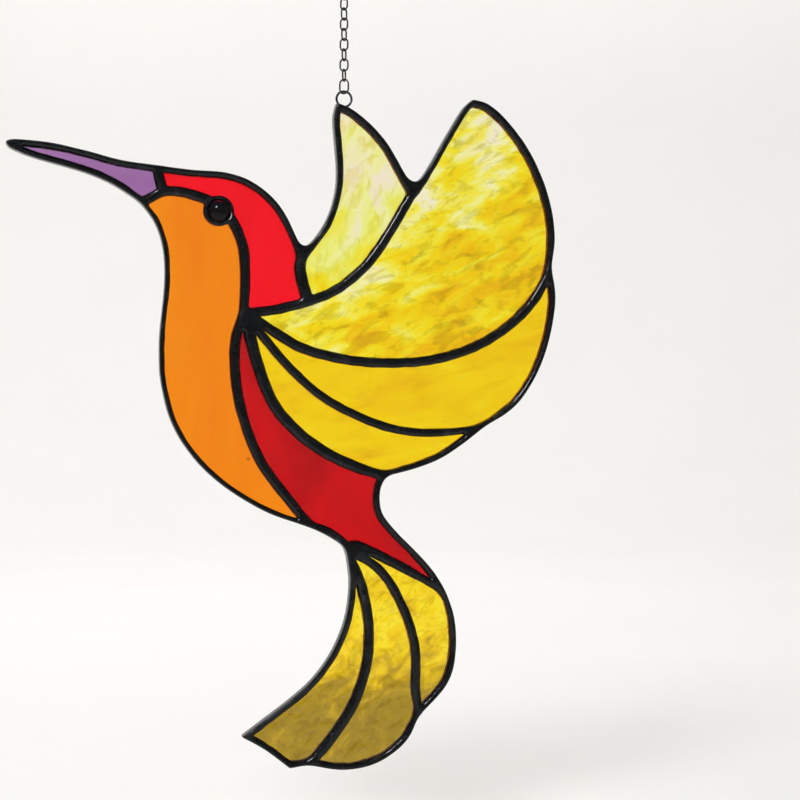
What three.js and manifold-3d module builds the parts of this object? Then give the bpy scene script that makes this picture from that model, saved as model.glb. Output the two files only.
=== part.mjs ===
// Stained glass suncatcher: a hovering hummingbird of eleven glass panes with a glass nugget for its eye,
// joined by beads of black solder, hung by a jump ring on a fine chain.
// Millimetres, +Z up. The bird's face looks to -Y, its beak points to -X, and the chain hangs from
// the origin.
import * as THREE from 'three';
import { mergeVertices } from 'three/addons/utils/BufferGeometryUtils.js';
import Module from 'manifold-3d';

const wasm = await Module();
wasm.setup();

// Driving dimensions
const glassThickness = 3; // ordinary sheet glass for copper foil work
const beadHeight = 1; // solder above each face of the glass
const beadRounding = { across: 0.7, deep: 0.6 }; // flat chamfer that stands for the round of a bead
const faceGap = 0.3; // between the glass and the solder that laps over it
const seamInset = { glass: 0.55, daylight: 1.75 }; // from the middle of a seam between two panes
const rimInset = { glass: 0.9, daylight: 2.3 }; // from the outer edge of the solder
// Where the bead is broader or finer than that, from the same line to where the glass shows
const ownDaylight = {
  nearWingTop: 2.6,
  farWingOutside: 2.6,
  rumpUnder: 3,
  breastRim: 1.8,
  napeSeam: 2.1,
  lowerSeam: 2,
  middleSeam: 1.5,
  tailRightSeam: 1.6,
};
// How far solder has run along both sides of each notch in the outline, and filled it
const notchFill = { nape: 6.8, cleft: 7.6, upperNotch: 2, waist: 2.5, tailNotch: 2, tailFork: 2 };
const chordError = 0.2; // largest distance between a curve and its facets
const cornerReach = 2; // how far lines run on to meet at a corner, or start early to ease into each other
const nuggetCentre = [-45.2, -41.2];
// Its radius, the y of its flat back, widest part and front, the solder wall round it, and the rim's radius
const nugget = { radius: 4, back: 1.5, girdle: -1, front: -4.6, wall: 0.3, rim: 5.4 };
const ring = { length: 6.4, width: 6.4, wire: 0.85, facets: 20 }; // the jump ring, and its twin at the top
const link = { length: 5, width: 3.7, wire: 0.6, facets: 12 };
const joiningLink = { length: 5.8, width: 4.1, wire: 0.6, facets: 12 }; // hooks the chain to the jump ring
const linkCount = 9;
const linkTurn = { first: 35, step: 93, joining: -38 }; // degrees about the chain, which lies in a slow twist
const hangingSlack = 0.16; // clear air between two links that hang in each other

const colours = {
  purple: 0x9a6aa8,
  red: 0xe00020,
  darkRed: 0xb80016,
  orange: 0xff8a00,
  paleYellow: 0xe6e86a,
  yellow: 0xf5cf10,
  olive: 0xc0a010,
  solder: 0x15171a,
  nugget: 0x08080a,
  wire: 0x2a2c30,
};

// The pattern, as drawn on paper: x and z from the centre of the jump ring.
// Corners are where three or more lines meet, or where one turns sharply.
const corners = {
  beakTip: [-118.4, -19.2],
  brow: [-66.5, -25.8],
  nape: [-15.3, -56],
  farTip: [-3, -1.6],
  cleft: [25.4, -32.3],
  nearTip: [47.4, 1.6],
  upperNotch: [77.4, -59.2],
  lowerNotch: [52, -117.3],
  waist: [15.2, -134.8],
  hip: [37.6, -177.5],
  tailNotch: [27.3, -221.3],
  tailFork: [-13.5, -237],
  tailHeel: [-20, -237.9],
  tailTip: [-37.2, -226],
  tailRoot: [-0.3, -160.5],
  belly: [-11, -153.6],
  chin: [-72.6, -39.2],
  cheek: [-64.6, -34.8],
  shoulder: [-36.4, -77],
  scapula: [-13.4, -72.6],
};

// Rims are the outer edges of the solder.
const rims = {
  beakTop: ['beakTip', [-116.4, -18.5], [-104, -19.1], [-91.5, -21.4], [-79, -24.4], 'brow'],
  crownRim: ['brow', [-55, -27], [-43, -27.6], [-34, -30.3], [-25.5, -36.6], [-20, -44.5], 'nape'],
  farWingInside: ['nape', [-6.7, -43.5], [-3.2, -32], [-3.1, -19], [-4.1, -7], 'farTip'],
  farWingOutside: ['farTip', [2.4, -3.6], [10.5, -9.9], [15.3, -15.2], [19.6, -22], 'cleft'],
  nearWingInside: ['cleft', [32.5, -20.6], [38.3, -10.6], [44.3, -1.2], 'nearTip'],
  nearWingTop: ['nearTip', [53, 0.2], [62.3, -7.7], [71.4, -20.9], [77.3, -36.8], [78.7, -48.6],
    'upperNotch'],
  middleRim: ['upperNotch', [79, -69.5], [76.6, -85.4], [71.5, -98.6], [63.5, -109.8], 'lowerNotch'],
  lowerRim: ['lowerNotch', [43.5, -123.6], [34.5, -129.1], [24, -132.8], 'waist'],
  rumpRim: ['waist', [13.1, -139.5], [13.5, -147.5], [19, -154.8], [26, -161.8], [33.2, -170], 'hip'],
  tailRightRim: ['hip', [40.3, -185.5], [41.1, -197], [38.4, -209], 'tailNotch'],
  tailMiddleRim: ['tailNotch', [22.6, -229.9], [12.5, -237.1], [0, -239.4], 'tailFork'],
  tailLeftFoot: ['tailFork', 'tailHeel'],
  tailLeftSole: ['tailHeel', [-25.3, -233.6], [-30.5, -229.9], 'tailTip'],
  tailLeftRim: ['tailTip', [-26.4, -218.1], [-13.7, -208.6], [-5.5, -198.6], [-0.1, -186.5], [1.8, -172],
    'tailRoot'],
  rumpUnder: ['tailRoot', [-4.5, -157], 'belly'],
  breastRim: ['belly', [-28, -147.2], [-43.5, -137.8], [-54.5, -127.2], [-61.6, -115.6], [-65.5, -100.5],
    [-65.8, -84], [-64.2, -69], [-64.7, -54.5], [-67.8, -45.4], 'chin'],
  beakUnder: ['chin', [-80.5, -33.9], [-89, -30], [-100, -26.9], [-111, -23.9], [-117.4, -21], 'beakTip'],
};

// Seams are the middle lines of the solder between two panes.
const seams = {
  browSeam: ['brow', [-66, -30], 'cheek'],
  gapeSeam: ['cheek', 'chin'],
  crownSeam: ['cheek', [-58, -34.9], [-51.5, -36.5], [-45, -39.6], [-40.3, -44.5], [-36.6, -53.5],
    [-35.8, -64], 'shoulder'],
  napeSeam: ['nape', [-16.2, -61], 'scapula'],
  shoulderSeam: ['shoulder', [-25, -75.5], 'scapula'],
  wingSeam: ['scapula', [-3.5, -68.5], [7.5, -59.6], [15.3, -49.2], [22, -38.3], 'cleft'],
  upperSeam: ['shoulder', [-28, -81.6], [-16, -88.8], [0, -93], [16, -94.2], [32, -93], [47.5, -88.5],
    [60, -81.3], [70, -72], 'upperNotch'],
  middleSeam: ['shoulder', [-30.5, -83.8], [-21.6, -94.2], [-9.2, -105.5], [6, -113.8], [20, -118.3],
    [35, -119.3], 'lowerNotch'],
  lowerSeam: ['shoulder', [-34, -85], [-31, -95.9], [-24.8, -110.2], [-13.5, -121.8], [0, -129.7], 'waist'],
  rumpSeam: ['shoulder', [-39, -85], [-39.4, -97], [-36.8, -112.5], [-30.2, -129.2], [-20.5, -142.5],
    'belly'],
  hipSeam: ['tailRoot', [4, -159.4], [10, -162], [20, -167], [30, -173], 'hip'],
  tailLeftSeam: ['tailRoot', [5.2, -171], [8.7, -187], [8, -202], [2.7, -217], [-6.8, -230.3], 'tailFork'],
  tailRightSeam: ['tailRoot', [12, -167.6], [20.9, -180.8], [26, -197], [26.2, -213], 'tailNotch'],
};

// Every pane, with the lines round it in order.
const panes = {
  beak_glass: { colour: colours.purple, round: ['beakTop', 'browSeam', 'gapeSeam', 'beakUnder'] },
  crown_glass: {
    colour: colours.red,
    round: ['crownRim', 'napeSeam', 'shoulderSeam', 'crownSeam', 'browSeam'],
  },
  breast_glass: { colour: colours.orange, round: ['gapeSeam', 'crownSeam', 'rumpSeam', 'breastRim'] },
  rump_glass: {
    colour: colours.darkRed,
    round: ['lowerSeam', 'rumpRim', 'hipSeam', 'rumpUnder', 'rumpSeam'],
  },
  far_wing_glass: {
    colour: colours.paleYellow,
    round: ['farWingInside', 'farWingOutside', 'wingSeam', 'napeSeam'],
  },
  near_wing_upper_glass: {
    colour: colours.yellow,
    round: ['nearWingInside', 'nearWingTop', 'upperSeam', 'shoulderSeam', 'wingSeam'],
  },
  near_wing_middle_glass: { colour: colours.yellow, round: ['upperSeam', 'middleRim', 'middleSeam'] },
  near_wing_lower_glass: { colour: colours.yellow, round: ['middleSeam', 'lowerRim', 'lowerSeam'] },
  tail_left_glass: {
    colour: colours.olive,
    round: ['tailLeftRim', 'tailLeftSeam', 'tailLeftFoot', 'tailLeftSole'],
  },
  tail_middle_glass: { colour: colours.olive, round: ['tailLeftSeam', 'tailRightSeam', 'tailMiddleRim'] },
  tail_right_glass: { colour: colours.olive, round: ['hipSeam', 'tailRightRim', 'tailRightSeam'] },
};

// Lines: a curve through its points, sampled finely enough to be moved sideways and thinned later.
function drawn(stops) {
  const points = stops.map((stop) => {
    const [x, z] = typeof stop === 'string' ? corners[stop] : stop;
    return new THREE.Vector3(x, z, 0);
  });
  const curve = new THREE.CatmullRomCurve3(points, false, 'centripetal');
  return curve.getPoints((points.length - 1) * 12).map((p) => new THREE.Vector2(p.x, p.y));
}

const lines = {};
for (const [stopsOf, inset] of [[rims, rimInset], [seams, seamInset]]) {
  for (const [name, stops] of Object.entries(stopsOf)) {
    lines[name] = { path: drawn(stops), inset: { ...inset, daylight: ownDaylight[name] ?? inset.daylight } };
  }
}

// The sides of a pane, each turned to start where the last one ended, with the glass on their left.
function sidesOf(pane) {
  const sides = pane.round.map((name) => ({ ...lines[name] }));
  const meets = (a, b) => a.distanceTo(b) < 0.01;
  const turn = (side) => {
    side.path = side.path.toReversed();
  };
  const secondEnds = [sides[1].path[0], sides[1].path.at(-1)];
  if (!secondEnds.some((end) => meets(end, sides[0].path.at(-1)))) turn(sides[0]);
  for (let i = 1; i < sides.length; i += 1) {
    if (!meets(sides[i].path[0], sides[i - 1].path.at(-1))) turn(sides[i]);
  }
  if (THREE.ShapeUtils.isClockWise(sides.flatMap((side) => side.path))) {
    sides.reverse();
    sides.forEach(turn);
  }
  return sides;
}

// Moves a path to its left by a distance.
function shifted(path, distance) {
  return path.map((point, i) => {
    const along = path[Math.min(i + 1, path.length - 1)].clone().sub(path[Math.max(i - 1, 0)]).normalize();
    return new THREE.Vector2(point.x - along.y * distance, point.y + along.x * distance);
  });
}

// Where the stretch from a to b crosses the stretch from c to d, or null.
function crossing(a, b, c, d) {
  const ab = b.clone().sub(a);
  const cd = d.clone().sub(c);
  const ac = c.clone().sub(a);
  const turn = ab.cross(cd);
  if (Math.abs(turn) < 1e-9) return null;
  const s = ac.cross(cd) / turn;
  const t = ac.cross(ab) / turn;
  if (s < 0 || s > 1 || t < 0 || t > 1) return null;
  return a.clone().addScaledVector(ab, s);
}

// Runs a path on beyond one of its ends.
function lengthened(path, atEnd) {
  const [tip, inner] = atEnd ? [path.at(-1), path.at(-2)] : [path[0], path[1]];
  const beyond = tip.clone().addScaledVector(tip.clone().sub(inner).normalize(), cornerReach);
  return atEnd ? [...path, beyond] : [beyond, ...path];
}

// Joins two neighbouring paths at a shared corner, where they cross. Two that run on side by side
// don't cross: those are eased into each other.
function cornered(before, after) {
  const [first, second] = [lengthened(before, true), lengthened(after, false)];
  for (let i = 0; i < first.length - 1; i += 1) {
    for (let j = second.length - 2; j >= 0; j -= 1) {
      const point = crossing(first[i], first[i + 1], second[j], second[j + 1]);
      if (point) return [[...first.slice(0, i + 1), point], [point, ...second.slice(j + 1)]];
    }
  }
  const [end, start] = [before.at(-1), after[0]];
  return [
    before.filter((point) => point.distanceTo(end) > cornerReach),
    after.filter((point) => point.distanceTo(start) > cornerReach),
  ];
}

// Leaves out the points that a straight chord passes closely enough.
function thinned(path) {
  const [start, end] = [path[0], path.at(-1)];
  const chord = end.clone().sub(start);
  let farthest = 0;
  let worst = 0;
  for (let i = 1; i < path.length - 1; i += 1) {
    const off = path[i].clone().sub(start);
    const distance = Math.abs(chord.cross(off)) / Math.max(chord.length(), 1e-9);
    if (distance > worst) [farthest, worst] = [i, distance];
  }
  if (worst < chordError) return [start, end];
  return [...thinned(path.slice(0, farthest + 1)), ...thinned(path.slice(farthest)).slice(1)];
}

// The outline of a pane at one of its insets, with some more taken off or put on all round.
function outlineOf(pane, inset, more = 0) {
  const paths = sidesOf(pane).map((side) => shifted(side.path, side.inset[inset] + more));
  for (let i = 0; i < paths.length; i += 1) {
    const next = (i + 1) % paths.length;
    [paths[i], paths[next]] = cornered(paths[i], paths[next]);
  }
  const outline = paths.flatMap((path) => thinned(path));
  return outline.filter((point, i) => point.distanceTo(outline.at(i - 1)) > 0.02);
}

// The outer edge of the whole bird: all rims in order, with the notches filled.
function silhouette() {
  const spot = (corner) => new THREE.Vector2(...corners[corner]);
  const stretches = Object.entries(rims).map(([name, stops]) => {
    const [start, end] = [stops[0], stops.at(-1)];
    const clear = (point, corner) => point.distanceTo(spot(corner)) >= (notchFill[corner] ?? 0);
    const path = lines[name].path.filter((point) => clear(point, start) && clear(point, end));
    return { end, path: thinned(path) };
  });
  return stretches.flatMap(({ end, path }, i) => {
    if (!notchFill[end]) return path.slice(0, -1);
    const next = stretches[(i + 1) % stretches.length].path[0];
    const fill = new THREE.QuadraticBezierCurve(path.at(-1), spot(end), next);
    return [...path, ...fill.getPoints(5).slice(1, -1)];
  });
}

// A plate of the outline's shape, standing upright across y = 0, with its edges chamfered if asked.
function plate(outline, thickness, { holes = [], chamfer = null } = {}) {
  const shape = new THREE.Shape(outline);
  shape.holes = holes.map((hole) => new THREE.Path(hole));
  const deep = chamfer ? chamfer.deep : 0;
  const geometry = new THREE.ExtrudeGeometry(shape, {
    depth: thickness - 2 * deep,
    bevelEnabled: chamfer !== null,
    bevelThickness: deep,
    bevelSize: chamfer ? chamfer.across : 0,
    bevelOffset: chamfer ? -chamfer.across : 0,
    bevelSegments: 1,
  });
  geometry.translate(0, 0, deep - thickness / 2);
  return geometry.rotateX(Math.PI / 2);
}

// A round bar through the bird at the nugget's place.
function barAtNugget(radius, length) {
  const bar = new THREE.CylinderGeometry(radius, radius, length, 20);
  return bar.translate(nuggetCentre[0], 0, nuggetCentre[1]);
}

function solid(geometry) {
  const bare = geometry.clone();
  bare.deleteAttribute('normal');
  bare.deleteAttribute('uv');
  const merged = mergeVertices(bare, 1e-4);
  const mesh = new wasm.Mesh({
    numProp: 3,
    vertProperties: new Float32Array(merged.getAttribute('position').array),
    triVerts: new Uint32Array(merged.index.array),
  });
  return new wasm.Manifold(mesh);
}

function geometryOf(manifold) {
  const mesh = manifold.getMesh();
  const geometry = new THREE.BufferGeometry();
  geometry.setAttribute('position', new THREE.BufferAttribute(mesh.vertProperties, 3));
  geometry.setIndex(new THREE.BufferAttribute(mesh.triVerts, 1));
  geometry.computeVertexNormals();
  return geometry;
}

function named(name, geometry, look) {
  const mesh = new THREE.Mesh(geometry, new THREE.MeshStandardMaterial(look));
  mesh.name = name;
  return mesh;
}

function glassPane(name, pane) {
  const sheet = solid(plate(outlineOf(pane, 'glass'), glassThickness));
  const notch = solid(barAtNugget(nugget.radius + nugget.wall + 2 * faceGap, glassThickness + 2));
  const look = { color: pane.colour, roughness: 0.15, transparent: true, opacity: 0.8 };
  return named(name, geometryOf(sheet.subtract(notch)), look);
}

// A ring or link of round wire, upright in the plane of the bird, its long way up.
function wireLoop({ length, width, wire, facets }) {
  const loop = new THREE.TorusGeometry((width - wire) / 2, wire / 2, 6, facets);
  loop.rotateZ(Math.PI / facets);
  const position = loop.getAttribute('position');
  for (let i = 0; i < position.count; i += 1) {
    const y = position.getY(i);
    // Both halves are drawn apart, so that the sides run straight
    position.setY(i, y + (Math.sign(y) * (length - width)) / 2);
  }
  return loop.rotateX(Math.PI / 2);
}

// All the solder in one: the bead round each pane, the rim round the nugget, and a tunnel for the jump ring.
function solderLines() {
  const thickness = glassThickness + 2 * beadHeight;
  const daylight = Object.values(panes).map((pane) => outlineOf(pane, 'daylight'));
  let solder = solid(plate(silhouette(), thickness, { holes: daylight, chamfer: beadRounding }));
  solder = solder.add(solid(barAtNugget(nugget.rim, thickness)));
  const wall = solid(barAtNugget(nugget.radius + faceGap + nugget.wall, thickness));
  for (const pane of Object.values(panes)) {
    const pocket = solid(plate(outlineOf(pane, 'glass', -faceGap), glassThickness + 2 * faceGap));
    solder = solder.subtract(pocket.subtract(wall));
  }
  solder = solder.subtract(solid(barAtNugget(nugget.radius + faceGap, thickness + 2)));
  const grown = (size) => size + 2 * faceGap;
  const tunnel = { ...ring, length: grown(ring.length), width: grown(ring.width), wire: grown(ring.wire) };
  solder = solder.subtract(solid(wireLoop(tunnel)));
  return named('solder_lines', geometryOf(solder), { color: colours.solder, roughness: 0.4, metalness: 0.7 });
}

// A glass nugget, flat behind and domed in front.
function eyeBead() {
  const { radius, back, girdle, front } = nugget;
  const steps = 4;
  const edge = 0.5; // broken round the flat back
  const profile = [];
  for (let i = 0; i <= steps; i += 1) {
    const angle = (Math.PI / 2) * (i / steps);
    profile.push(new THREE.Vector2(radius * Math.sin(angle), girdle + (front - girdle) * Math.cos(angle)));
  }
  profile.push(new THREE.Vector2(radius, back - edge));
  profile.push(new THREE.Vector2(radius - edge, back));
  profile.push(new THREE.Vector2(0, back));
  const bead = new THREE.LatheGeometry(profile, 20).translate(nuggetCentre[0], 0, nuggetCentre[1]);
  return named('eye_bead', bead, { color: colours.nugget, roughness: 0.05 });
}

function hung(name, shape, height, degrees) {
  const look = { color: colours.wire, roughness: 0.35, metalness: 0.9 };
  const loop = named(name, wireLoop(shape), look);
  loop.position.z = height;
  loop.rotation.z = THREE.MathUtils.degToRad(degrees);
  return loop;
}

// How far the middle of one loop lies below the middle of the loop it hangs in.
function drop(upper, lower) {
  return upper.length / 2 - upper.wire - hangingSlack + lower.length / 2 - lower.wire;
}

const suncatcher = new THREE.Group();

// The chain, from the top ring down
let height = ring.wire - ring.length / 2;
suncatcher.add(hung('top_ring', ring, height, 0));
let above = ring;
for (let i = 0; i < linkCount; i += 1) {
  height -= drop(above, link);
  above = link;
  suncatcher.add(hung(`chain_link_${i + 1}`, link, height, linkTurn.first + i * linkTurn.step));
}
height -= drop(above, joiningLink);
suncatcher.add(hung('joining_link', joiningLink, height, linkTurn.joining));
height -= drop(joiningLink, ring);
suncatcher.add(hung('hanging_ring', ring, height, 0));

// The bird, from the jump ring down
const bird = new THREE.Group();
bird.position.z = height;
bird.add(solderLines(), eyeBead());
for (const [name, pane] of Object.entries(panes)) bird.add(glassPane(name, pane));
suncatcher.add(bird);

export default suncatcher;
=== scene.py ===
# Stained glass hummingbird: panes, foil and solder, glass eye, ring and chain
import math
import bmesh
import bpy
import numpy as np
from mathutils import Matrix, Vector, kdtree, noise
from mathutils.geometry import delaunay_2d_cdt


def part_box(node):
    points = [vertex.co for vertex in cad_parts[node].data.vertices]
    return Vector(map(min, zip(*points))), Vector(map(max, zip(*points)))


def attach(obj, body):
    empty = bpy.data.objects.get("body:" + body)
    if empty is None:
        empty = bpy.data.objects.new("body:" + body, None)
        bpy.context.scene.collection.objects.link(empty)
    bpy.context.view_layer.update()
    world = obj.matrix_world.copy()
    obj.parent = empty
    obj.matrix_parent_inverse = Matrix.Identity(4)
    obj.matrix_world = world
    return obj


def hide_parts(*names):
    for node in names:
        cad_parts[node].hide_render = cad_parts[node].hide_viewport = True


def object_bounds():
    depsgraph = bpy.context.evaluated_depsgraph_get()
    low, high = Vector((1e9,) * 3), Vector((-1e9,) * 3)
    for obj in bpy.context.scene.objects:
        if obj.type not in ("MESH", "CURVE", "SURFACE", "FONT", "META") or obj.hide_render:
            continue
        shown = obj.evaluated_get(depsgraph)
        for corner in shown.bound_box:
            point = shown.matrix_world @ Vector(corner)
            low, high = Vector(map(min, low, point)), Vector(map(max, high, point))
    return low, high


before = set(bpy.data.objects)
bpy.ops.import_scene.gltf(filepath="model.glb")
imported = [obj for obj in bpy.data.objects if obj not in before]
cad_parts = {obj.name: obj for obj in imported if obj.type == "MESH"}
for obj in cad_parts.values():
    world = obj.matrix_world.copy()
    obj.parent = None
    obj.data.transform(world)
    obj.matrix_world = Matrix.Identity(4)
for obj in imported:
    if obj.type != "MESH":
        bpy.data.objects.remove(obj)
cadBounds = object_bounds()
mm = 0.001


# Loops (x, z) where the plane y = depth cuts a solid of the frame
def sliceOf(node, depth):
    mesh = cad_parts[node].data
    mesh.calc_loop_triangles()
    spots = [tuple(round(c, 7) for c in v.co) for v in mesh.vertices]
    joined = {}
    for triangle in mesh.loop_triangles:
        ends = []
        corners = [spots[i] for i in triangle.vertices]
        for a, b in zip(corners, corners[1:] + corners[:1]):
            if (a[1] < depth) != (b[1] < depth):
                a, b = sorted((a, b))
                t = (depth - a[1]) / (b[1] - a[1])
                ends.append((round(a[0] + t * (b[0] - a[0]), 7), round(a[2] + t * (b[2] - a[2]), 7)))
        if len(ends) == 2 and ends[0] != ends[1]:
            joined.setdefault(ends[0], []).append(ends[1])
            joined.setdefault(ends[1], []).append(ends[0])
    loops = []
    while joined:
        here = next(iter(joined))
        loop = []
        while joined.get(here):
            loop.append(here)
            there = joined[here].pop()
            if not joined[here]:
                del joined[here]
            joined[there].remove(here)
            if not joined[there]:
                del joined[there]
            here = there
        if len(loop) > 4:
            loops.append(np.array(loop))
    return loops


def areaOf(loop):
    after = np.roll(loop, -1, 0)
    return 0.5 * float((loop[:, 0] * after[:, 1] - after[:, 0] * loop[:, 1]).sum())


# A smooth loop through the points, evenly stepped, that keeps its sharp corners
def smoothed(loop, step, cornerAngle=42):
    loop = loop[np.hypot(*(loop - np.roll(loop, 1, 0)).T) > 0.05 * mm]  # leave out doubled points
    for _ in range(2):  # leave out points in the middle of a straight side
        before, after = loop - np.roll(loop, 1, 0), np.roll(loop, -1, 0) - loop
        turn = turnOf(before, after)
        loop = loop[np.abs(turn) > 0.4]
    if areaOf(loop) < 0:
        loop = loop[::-1]
    before, after = loop - np.roll(loop, 1, 0), np.roll(loop, -1, 0) - loop
    corner = np.abs(turnOf(before, after)) > cornerAngle
    out = []
    count = len(loop)
    for i in range(count):
        p1, p2 = loop[i], loop[(i + 1) % count]
        p0 = 2 * p1 - p2 if corner[i] else loop[i - 1]
        p3 = 2 * p2 - p1 if corner[(i + 1) % count] else loop[(i + 2) % count]
        t1 = np.linalg.norm(p1 - p0) ** 0.5
        t2 = t1 + np.linalg.norm(p2 - p1) ** 0.5
        t3 = t2 + np.linalg.norm(p3 - p2) ** 0.5
        steps = max(1, round(np.linalg.norm(p2 - p1) / step))
        for t in np.linspace(t1, t2, steps, endpoint=False):
            a1 = (t1 - t) / t1 * p0 + t / t1 * p1
            a2 = (t2 - t) / (t2 - t1) * p1 + (t - t1) / (t2 - t1) * p2
            a3 = (t3 - t) / (t3 - t2) * p2 + (t - t2) / (t3 - t2) * p3
            b1 = (t2 - t) / t2 * a1 + t / t2 * a2
            b2 = (t3 - t) / (t3 - t1) * a2 + (t - t1) / (t3 - t1) * a3
            out.append((t2 - t) / (t2 - t1) * b1 + (t - t1) / (t2 - t1) * b2)
    return np.array(out)


def turnOf(before, after):
    cross = before[:, 0] * after[:, 1] - before[:, 1] * after[:, 0]
    return np.degrees(np.arctan2(cross, (before * after).sum(1)))


# Takes the last sharpness out of corners, as melted solder does
def softened(loop, rounds):
    for _ in range(rounds):
        loop = 0.5 * loop + 0.25 * (np.roll(loop, 1, 0) + np.roll(loop, -1, 0))
    return loop


# One for each point, away from what the loop goes round; every smoothed loop runs anticlockwise
def normalsOf(loop):
    along = np.roll(loop, -1, 0) - np.roll(loop, 1, 0)
    along /= np.maximum(np.linalg.norm(along, axis=1), 1e-9)[:, None]
    return np.stack([along[:, 1], -along[:, 0]], 1)


# A hand's unevenness along a line
def wandering(loop, size, reach, seed):
    off = [noise.noise(Vector((x / reach, seed, z / reach))) for x, z in loop]
    return loop + normalsOf(loop) * (np.array(off) * size)[:, None]


def distanceTo(points, loop):
    tree = kdtree.KDTree(len(loop))
    for i, (x, z) in enumerate(loop):
        tree.insert((x, z, 0), i)
    tree.balance()
    nearest = np.array([tree.find((x, z, 0))[1] for x, z in points])
    best = np.full(len(points), 1e9)
    for shift in (-2, -1, 0, 1):
        a = loop[(nearest + shift) % len(loop)]
        b = loop[(nearest + shift + 1) % len(loop)]
        ab = b - a
        t = ((points - a) * ab).sum(1) / np.maximum((ab**2).sum(1), 1e-18)
        best = np.minimum(best, np.linalg.norm(points - a - ab * np.clip(t, 0, 1)[:, None], axis=1))
    return best


# True where a point is inside an odd number of the loops
def inside(points, loops):
    a = np.concatenate(loops)
    b = np.concatenate([np.roll(loop, -1, 0) for loop in loops])
    odd = np.zeros(len(points), bool)
    order = np.argsort(points[:, 1])
    for chunk in np.array_split(order, max(1, len(order) // 400)):
        low, high = points[chunk, 1].min(), points[chunk, 1].max()
        near = (np.maximum(a[:, 1], b[:, 1]) >= low) & (np.minimum(a[:, 1], b[:, 1]) <= high)
        ax, az, bx, bz = a[near, 0], a[near, 1], b[near, 0], b[near, 1]
        x, z = points[chunk, 0][:, None], points[chunk, 1][:, None]
        spans = (az > z) != (bz > z)
        rise = np.where(bz == az, 1, bz - az)
        odd[chunk] = ((spans & (x < ax + (z - az) / rise * (bx - ax))).sum(1) % 2) == 1
    return odd


# Evenly packed points between the loops, kept a little off them
def packed(loops, step, clear):
    every = np.concatenate(loops)
    low, high = every.min(0), every.max(0)
    rows = []
    for j, z in enumerate(np.arange(low[1], high[1], step * 0.866)):
        xs = np.arange(low[0] + (j % 2) * step / 2, high[0], step)
        rows.append(np.stack([xs, np.full(len(xs), z)], 1))
    points = np.concatenate(rows)
    points = points[inside(points, loops)]
    tree = kdtree.KDTree(len(every))
    for i, (x, z) in enumerate(every):
        tree.insert((x, z, 0), i)
    tree.balance()
    return points[[tree.find((x, z, 0))[2] > clear for x, z in points]]


# Triangles that fill the space between the loops, through the loose points as well
def filled(loops, loose):
    points = np.concatenate(loops + [loose]) if len(loose) else np.concatenate(loops)
    edges = []
    start = 0
    for loop in loops:
        edges += [(start + i, start + (i + 1) % len(loop)) for i in range(len(loop))]
        start += len(loop)
    made = delaunay_2d_cdt([Vector(p / mm) for p in points], edges, [], 0, 1e-6, True)
    spots = np.array([tuple(v) for v in made[0]]) * mm
    place = np.full(len(points), -1)
    for out, sources in enumerate(made[3]):
        for source in sources:
            place[source] = out
    triangles = np.array([tuple(t) for t in made[2]])
    keep = inside(spots[triangles].mean(1), loops)
    return spots, triangles[keep], place


def meshFrom(name, spots, faces, slots=None, sharp=50):
    mesh = bpy.data.meshes.new(name)
    mesh.from_pydata([tuple(map(float, s)) for s in spots], [], [tuple(map(int, f)) for f in faces])
    if slots is not None:
        mesh.polygons.foreach_set("material_index", np.array(slots, np.int32))
    form = bmesh.new()
    form.from_mesh(mesh)
    bmesh.ops.delete(form, geom=[v for v in form.verts if not v.link_faces], context="VERTS")
    bmesh.ops.recalc_face_normals(form, faces=form.faces)
    form.to_mesh(mesh)
    form.free()
    mesh.polygons.foreach_set("use_smooth", np.ones(len(mesh.polygons), bool))
    mesh.set_sharp_from_angle(angle=math.radians(sharp))
    piece = bpy.data.objects.new(name, mesh)
    bpy.context.scene.collection.objects.link(piece)
    return piece


def placed(piece, slot, *nodes):
    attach(piece, "root")
    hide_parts(*nodes)


def newMaterial(name):
    material = bpy.data.materials.new(name)
    material.use_nodes = True
    return material, material.node_tree.nodes, material.node_tree.links


def noiseNode(nodes, links, vector, scale, detail=4, distortion=0, roughness=0.5):
    texture = nodes.new("ShaderNodeTexNoise")
    texture.inputs["Scale"].default_value = scale
    texture.inputs["Detail"].default_value = detail
    texture.inputs["Roughness"].default_value = roughness
    texture.inputs["Distortion"].default_value = distortion
    links.new(vector, texture.inputs["Vector"])
    return texture.outputs["Fac"]


def rampNode(nodes, links, value, stops):
    ramp = nodes.new("ShaderNodeValToRGB")
    ramp.color_ramp.interpolation = "EASE"
    while len(ramp.color_ramp.elements) < len(stops):
        ramp.color_ramp.elements.new(0.5)
    for element, (at, colour) in zip(ramp.color_ramp.elements, stops):
        element.position = at
        element.color = (*colour, 1)
    links.new(value, ramp.inputs["Fac"])
    return ramp.outputs["Color"]


def mathNode(nodes, links, operation, *values):
    result = nodes.new("ShaderNodeMath")
    result.operation = operation
    for socket, value in zip(result.inputs, values):
        if isinstance(value, (int, float)):
            socket.default_value = value
        else:
            links.new(value, socket)
    return result.outputs[0]


# Object coordinates, turned in the plane of the bird and stretched along the turned x axis
def streakVector(nodes, links, angle, stretch):
    spot = nodes.new("ShaderNodeTexCoord")
    turned = nodes.new("ShaderNodeMapping")
    turned.vector_type = "POINT"
    turned.inputs["Rotation"].default_value = (0, math.radians(angle), 0)
    links.new(spot.outputs["Object"], turned.inputs["Vector"])
    pulled = nodes.new("ShaderNodeMapping")
    pulled.inputs["Scale"].default_value = (1 / stretch, 1, 1)
    links.new(turned.outputs["Vector"], pulled.inputs["Vector"])
    return pulled.outputs["Vector"]


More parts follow.
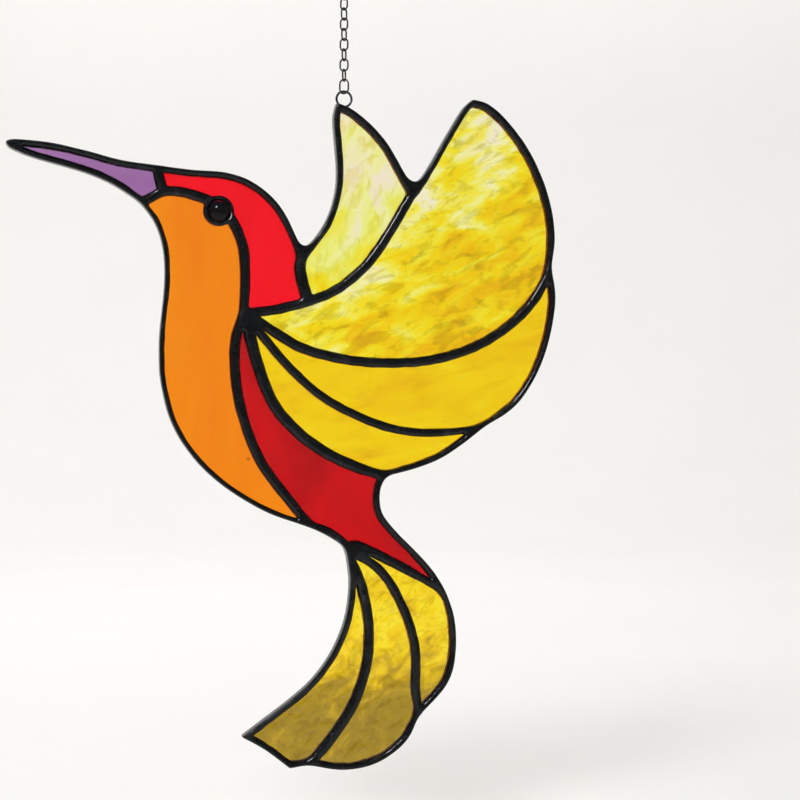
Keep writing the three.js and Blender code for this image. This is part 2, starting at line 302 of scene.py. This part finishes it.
# From 0 to 1 along a direction in the plane of the bird, between two places in metres
def fade(nodes, links, angle, start, end):
    spot = nodes.new("ShaderNodeTexCoord")
    along = nodes.new("ShaderNodeVectorMath")
    along.operation = "DOT_PRODUCT"
    along.inputs[1].default_value = (math.cos(math.radians(angle)), 0, math.sin(math.radians(angle)))
    links.new(spot.outputs["Object"], along.inputs[0])
    reach = nodes.new("ShaderNodeMapRange")
    reach.interpolation_type = "SMOOTHSTEP"
    reach.inputs["From Min"].default_value = start
    reach.inputs["From Max"].default_value = end
    links.new(along.outputs["Value"], reach.inputs["Value"])
    return reach.outputs["Result"]


def multiplied(nodes, links, first, second):
    mixed = nodes.new("ShaderNodeMix")
    mixed.data_type = "RGBA"
    mixed.blend_type = "MULTIPLY"
    mixed.inputs["Factor"].default_value = 1
    links.new(first, mixed.inputs[6])
    links.new(second, mixed.inputs[7])
    return mixed.outputs[2]


# Coloured glass. Streaks run along an angle; the fade moves the colour up the ramp.
def glassMaterial(name, look):
    material, nodes, links = newMaterial(name)
    shader = nodes["Principled BSDF"]
    shader.inputs["Transmission Weight"].default_value = 1
    shader.inputs["IOR"].default_value = 1.5
    shader.inputs["Specular IOR Level"].default_value = 0.12
    shader.inputs["Roughness"].default_value = look["roughness"]
    vector = streakVector(nodes, links, look["angle"], look["stretch"])
    wisps = noiseNode(nodes, links, vector, look["wispScale"], 5, look["swirl"], 0.55)
    wisps = mathNode(nodes, links, "SUBTRACT", wisps, 0.5)
    wisps = mathNode(nodes, links, "MULTIPLY", wisps, look["contrast"])
    wisps = mathNode(nodes, links, "ADD", wisps, 0.5)
    # The fade shifts the colour along one direction of the pane; on the tail it is painted shade, darker
    # towards the bottom
    if look.get("fade"):
        drift = mathNode(nodes, links, "SUBTRACT", fade(nodes, links, *look["fade"]["along"]), 0.5)
        drift = mathNode(nodes, links, "MULTIPLY", drift, look["fade"]["by"])
        wisps = mathNode(nodes, links, "ADD", wisps, drift)
    colour = rampNode(nodes, links, wisps, look["colours"])
    ripple = noiseNode(nodes, links, vector, look["rippleScale"], 3, look["swirl"])
    if look.get("seeds"):
        seeds = nodes.new("ShaderNodeTexVoronoi")
        seeds.inputs["Scale"].default_value = look["seeds"]
        spot = nodes.new("ShaderNodeTexCoord")
        links.new(spot.outputs["Object"], seeds.inputs["Vector"])
        rims = [(0.02, (0.4, 0.3, 0.2)), (0.06, (1, 1, 1))]
        dark = rampNode(nodes, links, seeds.outputs["Distance"], rims)
        colour = multiplied(nodes, links, colour, dark)
    # Painted shade: the ripple noise darkens one side of each ripple, as light falling on the relief would
    if look.get("shade"):  # painted shade on the dark side of each ripple
        low = 1 - look["shade"]
        dark = rampNode(nodes, links, ripple, [(0.34, (low, 0.93 * low, 0.4 * low)), (0.47, (1, 1, 1))])
        colour = multiplied(nodes, links, colour, dark)
    links.new(colour, shader.inputs["Base Color"])
    bump = nodes.new("ShaderNodeBump")
    bump.inputs["Strength"].default_value = look["ripple"]
    bump.inputs["Distance"].default_value = 0.3 * mm
    links.new(ripple, bump.inputs["Height"])
    links.new(bump.outputs["Normal"], shader.inputs["Normal"])
    return material


ringLow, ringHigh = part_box("hanging_ring")
ringCentre = (ringLow + ringHigh) / 2
cameraView = {
    "azimuth": -14,  # degrees to the side of straight on
    "distance": 0.65,
    "lens": 81.25,
    "across": 0.0206,  # from the ring on the bird to the middle of the view
    "below": 0.1075,
}
target = ringCentre + Vector((cameraView["across"], 0, -cameraView["below"]))
turn = math.radians(cameraView["azimuth"])
camera = bpy.data.objects.new("camera", bpy.data.cameras.new("camera"))
camera.data.lens = cameraView["lens"]
camera.data.sensor_width = 36
camera.location = target + cameraView["distance"] * Vector((math.sin(turn), -math.cos(turn), 0))
camera.rotation_euler = (math.radians(90), 0, turn)
bpy.context.scene.collection.objects.link(camera)
bpy.context.scene.camera = camera

studio = {
    "floorBelow": 0.045,  # metres under the lowest tip of the tail
    "floorRadius": 1.5,
    "sweep": 0.6,
    "wall": 2.2,
    "skyStrength": 0.14,
}
softboxes = {
    "backdropSoftbox": {
        "power": 33, "size": (1.8, 0.8), "place": (0, 0.7, 1.6), "aim": (0, 1.9, 0.1),
        "colour": (1, 0.985, 0.96),
    },
    "skySoftbox": {
        "power": 2.2, "size": (0.9, 0.25), "place": (-0.15, 0.35, 0.75), "aim": (0, 0, -0.15),
        "colour": (0.95, 0.98, 1),
    },
    "windowSoftbox": {
        "power": 3.2, "size": (0.17, 0.17), "place": (-0.3, -0.5, 0.3), "aim": (0, 0, -0.12),
        "colour": (1, 1, 1),
    },
}


def areaLight(name, box):
    lamp = bpy.data.lights.new(name, "AREA")
    lamp.shape = "RECTANGLE"
    lamp.size, lamp.size_y = box["size"]
    lamp.energy = box["power"]
    lamp.color = box["colour"]
    light = bpy.data.objects.new(name, lamp)
    light.location = box["place"]
    light.rotation_euler = (Vector(box["aim"]) - Vector(box["place"])).to_track_quat("-Z", "Y").to_euler()
    bpy.context.scene.collection.objects.link(light)


def buildStudio():
    floorHeight = cadBounds[0].z - studio["floorBelow"]
    radius, sweep = studio["floorRadius"], studio["sweep"]
    profile = [(r, 0) for r in (0.15, 0.4, 0.8, 1.2, radius)]
    for i in range(1, 13):
        angle = math.pi / 2 * i / 12
        profile.append((radius + sweep * math.sin(angle), sweep * (1 - math.cos(angle))))
    profile.append((radius + sweep, studio["wall"]))
    around = 72
    spots = [(0, 0, floorHeight)]
    for r, z in profile:
        for i in range(around):
            angle = 2 * math.pi * i / around
            spots.append((r * math.cos(angle), r * math.sin(angle), z + floorHeight))
    faces = [(0, 1 + i, 1 + (i + 1) % around) for i in range(around)]
    for ring in range(len(profile) - 1):
        a, b = 1 + ring * around, 1 + (ring + 1) * around
        faces += [(a + i, b + i, b + (i + 1) % around, a + (i + 1) % around) for i in range(around)]
    floor = meshFrom("studioFloor", spots, faces, sharp=180)
    material, nodes, links = newMaterial("paintedFloor")
    shader = nodes["Principled BSDF"]
    shader.inputs["Roughness"].default_value = 0.9
    shader.inputs["Specular IOR Level"].default_value = 0.1
    spot = nodes.new("ShaderNodeTexCoord")
    grain = noiseNode(nodes, links, spot.outputs["Object"], 6, 3)
    links.new(rampNode(nodes, links, grain, [(0.3, (0.815, 0.81, 0.80)), (0.7, (0.825, 0.82, 0.81))]),
              shader.inputs["Base Color"])
    floor.data.materials.append(material)

    world = bpy.data.worlds.new("studioSky")
    world.use_nodes = True
    sky = world.node_tree.nodes["Background"]
    sky.inputs["Color"].default_value = (0.9, 0.94, 1, 1)
    sky.inputs["Strength"].default_value = studio["skyStrength"]
    bpy.context.scene.world = world
    for name, box in softboxes.items():
        areaLight(name, box)


buildStudio()
bpy.context.scene.view_settings.view_transform = "Standard"
print("studio and camera ready")


paneLooks = {
    "beak_glass": {
        "slot": "purple_glass", "grid": 1.4, "relief": 0.03, "reach": 9, "roughness": 0.06,
        "angle": -12, "stretch": 3, "swirl": 0.4, "wispScale": 60, "contrast": 1,
        "rippleScale": 200, "ripple": 0.1,
        "colours": [(0.3, (0.30, 0.12, 0.36)), (0.7, (0.40, 0.19, 0.46))],
    },
    "crown_glass": {
        "slot": "red_glass", "grid": 1.4, "relief": 0.04, "reach": 14, "roughness": 0.04,
        "angle": 80, "stretch": 2, "swirl": 0.5, "wispScale": 40, "contrast": 1.2,
        "rippleScale": 120, "ripple": 0.1,
        "colours": [(0.25, (0.84, 0.0004, 0.006)), (0.6, (1.0, 0.0006, 0.012))],
    },
    "breast_glass": {
        "slot": "orange_glass", "grid": 1.4, "relief": 0.05, "reach": 18, "roughness": 0.05,
        "angle": 84, "stretch": 5, "swirl": 0.6, "wispScale": 60, "contrast": 1.5,
        "rippleScale": 160, "ripple": 0.12,
        "seeds": 60,
        "colours": [(0.15, (0.96, 0.20, 0.0003)), (0.5, (1.0, 0.265, 0.0006)), (0.85, (1.0, 0.32, 0.002))],
    },
    "rump_glass": {
        "slot": "dark_red_glass", "grid": 1.4, "relief": 0.06, "reach": 12, "roughness": 0.04,
        "angle": -60, "stretch": 2, "swirl": 0.6, "wispScale": 55, "contrast": 1.4,
        "rippleScale": 150, "ripple": 0.15,
        "colours": [(0.2, (0.44, 0.0004, 0.002)), (0.8, (0.70, 0.0006, 0.004))],
    },
    "far_wing_glass": {
        "slot": "pale_yellow_glass", "grid": 1.0, "relief": 0.12, "reach": 5, "roughness": 0.08,
        "angle": 75, "stretch": 2.0, "swirl": 0.7, "wispScale": 110, "contrast": 2.1,
        "rippleScale": 260, "ripple": 0.5,
        "shade": 0.1,
        "fade": {"along": (90, -0.122, -0.078), "by": 0.6},
        "colours": [(0.05, (0.96, 0.70, 0.001)), (0.3, (0.98, 0.84, 0.02)), (0.55, (0.92, 0.96, 0.2)),
                    (0.75, (0.97, 0.97, 0.42)), (0.97, (1.0, 0.90, 0.72))],
    },
    "near_wing_upper_glass": {
        "slot": "rippled_yellow_glass", "grid": 0.9, "relief": 0.22, "reach": 5, "roughness": 0.06,
        "angle": 25, "stretch": 2.3, "swirl": 0.8, "wispScale": 130, "contrast": 2.6,
        "rippleScale": 260, "ripple": 0.9,
        "shade": 0.3, "fade": {"along": (125, -0.128, -0.07), "by": 0.62},
        "colours": [(0.02, (0.93, 0.54, 0.0004)), (0.32, (1.0, 0.72, 0.001)), (0.55, (1.0, 0.87, 0.03)),
                    (0.75, (1.0, 0.98, 0.30)), (0.95, (1.0, 0.95, 0.68))],
    },
}
goldLook = {
    "slot": "yellow_glass", "grid": 1.1, "relief": 0.08, "reach": 8, "roughness": 0.05,
    "angle": 10, "stretch": 3, "swirl": 0.8, "wispScale": 90, "contrast": 1.7,
    "rippleScale": 200, "ripple": 0.35,
    "shade": 0.08,
    "colours": [(0.1, (0.95, 0.58, 0.0004)), (0.6, (1.0, 0.70, 0.001)), (0.95, (1.0, 0.86, 0.03))],
}
# Tail glass: its fade is painted shade, darker olive towards the bottom
tailLook = {
    "slot": "amber_glass", "grid": 0.9, "relief": 0.16, "reach": 5, "roughness": 0.06,
    "angle": 40, "stretch": 1.5, "swirl": 0.9, "wispScale": 170, "contrast": 2.0,
    "rippleScale": 330, "ripple": 0.8,
    "shade": 0.25, "fade": {"along": (90, -0.268, -0.232), "by": 0.75},
    "colours": [(0.05, (0.38, 0.245, 0.001)), (0.35, (0.46, 0.30, 0.002)), (0.55, (0.74, 0.49, 0.002)),
                (0.75, (0.96, 0.66, 0.002)), (0.97, (1.0, 0.80, 0.02))],
}
for goldPane in ("near_wing_middle_glass", "near_wing_lower_glass"):
    paneLooks[goldPane] = goldLook
for tailPane in ("tail_left_glass", "tail_middle_glass", "tail_right_glass"):
    paneLooks[tailPane] = tailLook
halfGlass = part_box("beak_glass")[1].y
nearMiddle = 0.0002 * mm  # just off the middle plane, where the solids have no points


def pieceName(node):
    words = node.split("_")
    return words[0] + "".join(word.capitalize() for word in words[1:])


def reliefAt(x, z, look, side):
    angle = math.radians(look["angle"])
    along = (x * math.cos(angle) + z * math.sin(angle)) / look["stretch"]
    over = -x * math.sin(angle) + z * math.cos(angle)
    reach = look["reach"] * mm
    spot = Vector((along / reach, over / reach, side * 3.7))
    bend = noise.noise(spot * 0.6 + Vector((7, 3, 1))) * look["swirl"]
    return noise.fractal(spot + Vector((bend, bend, 0)), 0.9, 2.1, 3) * look["relief"] * mm


def buildPane(node, look):
    outline = max(sliceOf(node, nearMiddle), key=lambda loop: abs(areaOf(loop)))
    outline = smoothed(outline, look["grid"] * mm)
    spots, triangles, _ = filled([outline], packed([outline], look["grid"] * mm, 0.6 * look["grid"] * mm))
    count = len(spots)
    front = [(x, -halfGlass - reliefAt(x, z, look, -1), z) for x, z in spots]
    back = [(x, halfGlass + 0.4 * reliefAt(x, z, look, 1), z) for x, z in spots]
    faces = [tuple(t) for t in triangles] + [tuple(t[::-1] + count) for t in triangles]
    sides = {}
    for t in triangles:
        for a, b in ((t[0], t[1]), (t[1], t[2]), (t[2], t[0])):
            sides[(a, b)] = 1
    faces += [(b, a, a + count, b + count) for a, b in sides if (b, a) not in sides]
    pane = meshFrom(pieceName(node), front + back, faces)
    glass = bpy.data.materials.get(pieceName(look["slot"])) or glassMaterial(pieceName(look["slot"]), look)
    pane.data.materials.append(glass)
    placed(pane, look["slot"], node)
    return len(faces)


for node, look in paneLooks.items():
    print("pane", node, buildPane(node, look), "faces")


solder = {
    "grid": 0.62,  # mm between points on the beads
    "rounding": 0.95,  # how far in from the outer edge the bead turns over
    "squareness": 3.8,  # 2 is a round edge; more leaves the side flatter
    "height": 1.0,  # over a seam of common width
    "most": 1.35,
    "foil": 0.08,  # height of the foil's cut edge above the glass
    "wander": 0.16,  # of the foil's edge, from side to side
    "lumps": 0.10,
    "passes": 900,  # of the skin's settling
    "seamSkin": 3.06,  # height of the stretched skin over a seam of common width
    "fullness": 0.68,  # less than 1 keeps narrow seams nearly as high as wide ones
    "lapBelow": 0.65,  # a level between the chamfer and the pockets, below the solid's face
    "turnAngles": (8, 18, 31, 45, 60, 76),  # degrees round the outer edge that get a ring of points
}


def solderMaterial():
    material, nodes, links = newMaterial("blackPatina")
    shader = nodes["Principled BSDF"]
    shader.inputs["Metallic"].default_value = 0.9
    shader.inputs["Coat Weight"].default_value = 0.35
    shader.inputs["Coat Roughness"].default_value = 0.08
    spot = nodes.new("ShaderNodeTexCoord").outputs["Object"]
    cloud = noiseNode(nodes, links, spot, 180, 5, 0.5)
    links.new(rampNode(nodes, links, cloud, [(0.3, (0.004, 0.005, 0.006)), (0.6, (0.009, 0.011, 0.013)),
                                             (0.8, (0.034, 0.038, 0.045))]), shader.inputs["Base Color"])
    worn = noiseNode(nodes, links, spot, 500, 4)
    rough = nodes.new("ShaderNodeMapRange")
    rough.inputs["To Min"].default_value = 0.18
    rough.inputs["To Max"].default_value = 0.42
    links.new(worn, rough.inputs["Value"])
    links.new(rough.outputs["Result"], shader.inputs["Roughness"])
    bump = nodes.new("ShaderNodeBump")
    bump.inputs["Strength"].default_value = 0.15
    bump.inputs["Distance"].default_value = 0.1 * mm
    links.new(noiseNode(nodes, links, spot, 420, 3), bump.inputs["Height"])
    links.new(bump.outputs["Normal"], shader.inputs["Normal"])
    return material


def foilMaterial():
    material, nodes, links = newMaterial("copperFoil")
    shader = nodes["Principled BSDF"]
    shader.inputs["Metallic"].default_value = 0.3
    shader.inputs["Roughness"].default_value = 0.5
    spot = nodes.new("ShaderNodeTexCoord").outputs["Object"]
    stain = noiseNode(nodes, links, spot, 300, 4)
    links.new(rampNode(nodes, links, stain, [(0.3, (0.45, 0.15, 0.07)), (0.7, (0.68, 0.30, 0.16))]),
              shader.inputs["Base Color"])
    return material


# Height of melted solder: a skin stretched over the line, held down at the foil's edges and free at the rim
def skinHeights(spots, triangles, held):
    points = spots / mm
    weights, areas = [], np.zeros(len(points))
    ends = []
    for k in range(3):
        i, j, o = triangles[:, k], triangles[:, (k + 1) % 3], triangles[:, (k + 2) % 3]
        u, v = points[i] - points[o], points[j] - points[o]
        cross = np.abs(u[:, 0] * v[:, 1] - u[:, 1] * v[:, 0])
        weights.append(0.5 * (u * v).sum(1) / np.maximum(cross, 1e-6))
        ends.append((i, j))
        areas += np.bincount(i, cross / 6, len(points))
    i = np.concatenate([e[0] for e in ends] + [e[1] for e in ends])
    j = np.concatenate([e[1] for e in ends] + [e[0] for e in ends])
    w = np.concatenate(weights * 2)
    total = np.maximum(np.bincount(i, w, len(points)), 1e-9)
    free = np.ones(len(points))
    free[held] = 0
    height = np.zeros(len(points))
    for _ in range(solder["passes"]):
        height = free * (np.bincount(i, w * height[j], len(points)) + 2 * areas) / total
    return np.maximum(height, 0)


def buildSolder():
    step = solder["grid"] * mm
    eyeLow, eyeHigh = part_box("eye_bead")
    eyeCentre = np.array([(eyeLow.x + eyeHigh.x) / 2, (eyeLow.z + eyeHigh.z) / 2])
    eyeRadius = (eyeHigh.x - eyeLow.x) / 2
    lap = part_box("solder_lines")[1].y - solder["lapBelow"] * mm
    loops = sorted(sliceOf("solder_lines", -lap), key=lambda loop: -abs(areaOf(loop)))
    outer = wandering(softened(smoothed(loops[0], step), 1), 0.5 * solder["wander"] * mm, 9 * mm, 4)
    atEye = [np.hypot(*(loop.mean(0) - eyeCentre)) < 1.5 * mm for loop in loops]
    windows = [loop for loop, eye in zip(loops[1:], atEye[1:]) if not eye]
    openings = [softened(smoothed(loop, 0.8 * step), 2) for loop in windows]
    openings = [wandering(loop, solder["wander"] * mm, 4 * mm, 9 + i) for i, loop in enumerate(openings)]
    circle = np.array([[math.cos(a), math.sin(a)] for a in np.linspace(0, 2 * math.pi, 48, False)])
    eyeHole = eyeCentre + circle * (eyeRadius - 0.1 * mm)
    deep = sliceOf("solder_lines", 0.8 * halfGlass)  # behind the jump ring
    pockets = []
    panesOnly = [loop for loop in deep if abs(areaOf(loop)) < abs(areaOf(outer)) * 0.9]
    for opening in openings:
        holders = [loop for loop in panesOnly if inside(opening[:1], [loop])[0]]
        pockets.append(smoothed(min(holders, key=lambda loop: abs(areaOf(loop))), 2 * step))
    # Rings of points close inside the outer edge, where the bead turns over
    rings = []
    for angle in solder["turnAngles"]:
        inward = solder["rounding"] * mm * (1 - math.cos(math.radians(angle)))
        ring = outer - normalsOf(outer) * inward
        rings.append(ring[distanceTo(ring, outer) > inward * 0.97])
    loose = packed([outer, eyeHole] + openings, step, 0.55 * step)
    loose = loose[distanceTo(loose, outer) > (solder["rounding"] * 0.85) * mm]
    loose = np.concatenate(rings + [loose])
    keep = inside(loose, [outer, eyeHole] + openings)
    edges = np.concatenate([eyeHole] + openings)
    keep &= distanceTo(loose, edges) > 0.3 * step
    loops = [outer, eyeHole] + openings
    spots, triangles, place = filled(loops, loose[keep])
    count = len(spots)
    starts = np.cumsum([0] + [len(loop) for loop in loops])
    lines = [place[starts[k]:starts[k + 1]] for k in range(len(loops))]
    held = np.concatenate(lines[1:])
    skin = skinHeights(spots, triangles, held)
    height = solder["height"] * (skin / solder["seamSkin"]) ** solder["fullness"]
    height = solder["most"] * np.tanh(height / solder["most"])
    turnOver = np.clip(distanceTo(spots, outer) / (solder["rounding"] * mm), 0, 1)
    turnOver = (1 - (1 - turnOver) ** solder["squareness"]) ** (1 / solder["squareness"])
    turnOver[lines[0]] = 0
    glassFace = halfGlass / mm + solder["foil"]
    layers = []
    for side in (-1, 1):
        marks = [Vector((x / (5 * mm), side * 5, z / (5 * mm))) for x, z in spots]
        lumps = 1 + solder["lumps"] * np.array([noise.fractal(mark, 0.8, 2.2, 3) for mark in marks])
        layers.append(side * (glassFace + height * lumps) * turnOver * mm)
    front = np.stack([spots[:, 0], layers[0], spots[:, 1]], 1)
    back = np.stack([spots[:, 0], layers[1], spots[:, 1]], 1)
    points = [tuple(p) for p in front] + [tuple(p) for p in back]
    backOf = np.arange(count) + count
    backOf[lines[0]] = lines[0]  # both faces share the points of the outer edge
    faces = [tuple(t) for t in triangles] + [tuple(backOf[t[::-1]]) for t in triangles]
    slots = [0] * len(faces)
    # The hole that holds the glass eye goes straight through
    eye = lines[1]
    for k in range(len(eye)):
        a, b = eye[k], eye[(k + 1) % len(eye)]
        faces.append((a, b, b + count, a + count))
        slots.append(0)
    # Channels that hold the edges of the panes, lined with foil
    lapFace = halfGlass + 0.05 * mm
    for opening, pocket, line in zip(openings, pockets, lines[2:]):
        flat, between, mark = filled([opening, pocket], np.zeros((0, 2)))
        for side in (-1, 1):
            base = len(points)
            points += [(x, side * lapFace, z) for x, z in flat]
            faces += [tuple(t[::-side] + base) for t in between]
            slots += [1] * len(between)
            edge = line if side < 0 else line + count
            inner = mark[:len(opening)] + base
            for k in range(len(line)):
                n = (k + 1) % len(line)
                faces.append((edge[k], edge[n], inner[n], inner[k]))
                slots.append(0)
        wall = mark[len(opening):]
        for k in range(len(wall)):
            a, b = wall[k] + base, wall[(k + 1) % len(wall)] + base
            faces.append((a, b, b - len(flat), a - len(flat)))
            slots.append(1)
    piece = meshFrom("solderLines", points, faces, slots, 60)
    piece.data.materials.append(solderMaterial())
    piece.data.materials.append(foilMaterial())
    placed(piece, "solder", "solder_lines")
    return len(faces)


print("solder and foil", buildSolder(), "faces")


eyeNugget = {
    "around": 56,
    "rings": 22,
    "widest": 2.5,  # mm from the flat back to the widest level
    "edge": 0.8,  # mm, rounding of the flat back
}


def buildEye():
    low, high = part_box("eye_bead")
    radius, middle = (high.x - low.x) / 2, ((low.x + high.x) / 2, (low.z + high.z) / 2)
    girdle = high.y - eyeNugget["widest"] * mm
    edge = eyeNugget["edge"] * mm
    profile = []
    for i in range(1, eyeNugget["rings"] + 1):
        angle = math.pi / 2 * i / eyeNugget["rings"]
        profile.append((radius * math.sin(angle), girdle + (low.y - girdle) * math.cos(angle)))
    for i in range(1, 9):
        angle = math.pi / 2 * i / 8
        profile.append((radius - edge * (1 - math.cos(angle)), high.y - edge + edge * math.sin(angle)))
    around = eyeNugget["around"]
    spots = [(middle[0], low.y, middle[1])]
    for r, y in profile:
        for i in range(around):
            angle = 2 * math.pi * i / around
            spots.append((middle[0] + r * math.cos(angle), y, middle[1] + r * math.sin(angle)))
    faces = [(0, 1 + (i + 1) % around, 1 + i) for i in range(around)]
    for ring in range(len(profile) - 1):
        a, b = 1 + ring * around, 1 + (ring + 1) * around
        faces += [(a + i, a + (i + 1) % around, b + (i + 1) % around, b + i) for i in range(around)]
    last = 1 + (len(profile) - 1) * around
    faces.append(tuple(last + i for i in range(around)))
    piece = meshFrom("eyeBead", spots, faces)
    material, nodes, links = newMaterial("blackGlass")
    shader = nodes["Principled BSDF"]
    shader.inputs["IOR"].default_value = 1.52
    shader.inputs["Specular IOR Level"].default_value = 0.16
    spot = nodes.new("ShaderNodeTexCoord").outputs["Object"]
    cloud = noiseNode(nodes, links, spot, 250, 3)
    links.new(rampNode(nodes, links, cloud, [(0.3, (0.002, 0.002, 0.003)), (0.7, (0.006, 0.006, 0.008))]),
              shader.inputs["Base Color"])
    shine = nodes.new("ShaderNodeMapRange")
    shine.inputs["To Min"].default_value = 0.02
    shine.inputs["To Max"].default_value = 0.07
    links.new(noiseNode(nodes, links, spot, 400, 2), shine.inputs["Value"])
    links.new(shine.outputs["Result"], shader.inputs["Roughness"])
    piece.data.materials.append(material)
    placed(piece, "black_nugget", "eye_bead")


buildEye()
print("glass eye ready")


wireLook = {
    "ring": {"wire": 0.85, "slit": 0},
    "link": {"wire": 0.6, "slit": 0.05},
    "around": 14,
    "along": 56,
}


def wireMaterial():
    material, nodes, links = newMaterial("blackenedWire")
    shader = nodes["Principled BSDF"]
    shader.inputs["Metallic"].default_value = 0.9
    spot = nodes.new("ShaderNodeTexCoord").outputs["Object"]
    cloud = noiseNode(nodes, links, spot, 500, 4)
    links.new(rampNode(nodes, links, cloud, [(0.35, (0.02, 0.022, 0.026)), (0.75, (0.09, 0.095, 0.105))]),
              shader.inputs["Base Color"])
    rough = nodes.new("ShaderNodeMapRange")
    rough.inputs["To Min"].default_value = 0.2
    rough.inputs["To Max"].default_value = 0.4
    links.new(noiseNode(nodes, links, spot, 900, 3), rough.inputs["Value"])
    links.new(rough.outputs["Result"], shader.inputs["Roughness"])
    return material


def buildLoop(node, kind, material):
    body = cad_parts[node].data
    co = np.array([v.co for v in body.vertices])
    low, high = co.min(0), co.max(0)
    middle = (low + high) / 2
    spread = np.cov((co[:, :2] - middle[:2]).T)
    turned = 0.5 * math.atan2(2 * spread[0, 1], spread[0, 0] - spread[1, 1])
    flat = (co[:, 0] - middle[0]) * math.cos(turned) + (co[:, 1] - middle[1]) * math.sin(turned)
    wire = wireLook[kind]["wire"] * mm
    length, width = high[2] - low[2], flat.max() - flat.min()
    if kind == "ring":
        length = width = max(length, width)
    bend, straight = (width - wire) / 2, max(0.0, (length - width) / 2)
    slit = wireLook[kind]["slit"] * mm
    along, around = wireLook["along"], wireLook["around"]
    whole = 2 * math.pi * bend + 4 * straight
    spots = []
    stops = np.linspace(slit / 2, whole - slit / 2, along) if slit else np.linspace(0, whole, along, False)
    for s in stops:
        # once round, from the middle of the straight side on the right
        if s < straight:
            centre, out = (bend, s), 0
        elif s < straight + math.pi * bend:
            out = (s - straight) / bend
            centre = (bend * math.cos(out), straight + bend * math.sin(out))
        elif s < 3 * straight + math.pi * bend:
            centre, out = (-bend, 2 * straight + math.pi * bend - s), math.pi
        elif s < 3 * straight + 2 * math.pi * bend:
            out = math.pi + (s - 3 * straight - math.pi * bend) / bend
            centre = (bend * math.cos(out), -straight + bend * math.sin(out))
        else:
            centre, out = (bend, s - whole), 0
        for k in range(around):
            a = 2 * math.pi * k / around
            off, side = wire / 2 * math.cos(a), wire / 2 * math.sin(a)
            u = centre[0] + off * math.cos(out)
            v = centre[1] + off * math.sin(out)
            spots.append((middle[0] + u * math.cos(turned) - side * math.sin(turned),
                          middle[1] + u * math.sin(turned) + side * math.cos(turned), middle[2] + v))
    faces = []
    for s in range(along - 1 if slit else along):
        a, b = s * around, ((s + 1) % along) * around
        faces += [(a + k, a + (k + 1) % around, b + (k + 1) % around, b + k) for k in range(around)]
    if slit:
        faces.append(tuple(range(around))[::-1])
        faces.append(tuple(range((along - 1) * around, along * around)))
    piece = meshFrom(pieceName(node), spots, faces)
    piece.data.materials.append(material)
    placed(piece, "chain", node)


wire = wireMaterial()
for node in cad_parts:
    if node.endswith("_ring"):
        buildLoop(node, "ring", wire)
    elif "link" in node:
        buildLoop(node, "link", wire)
print("rings and chain ready")
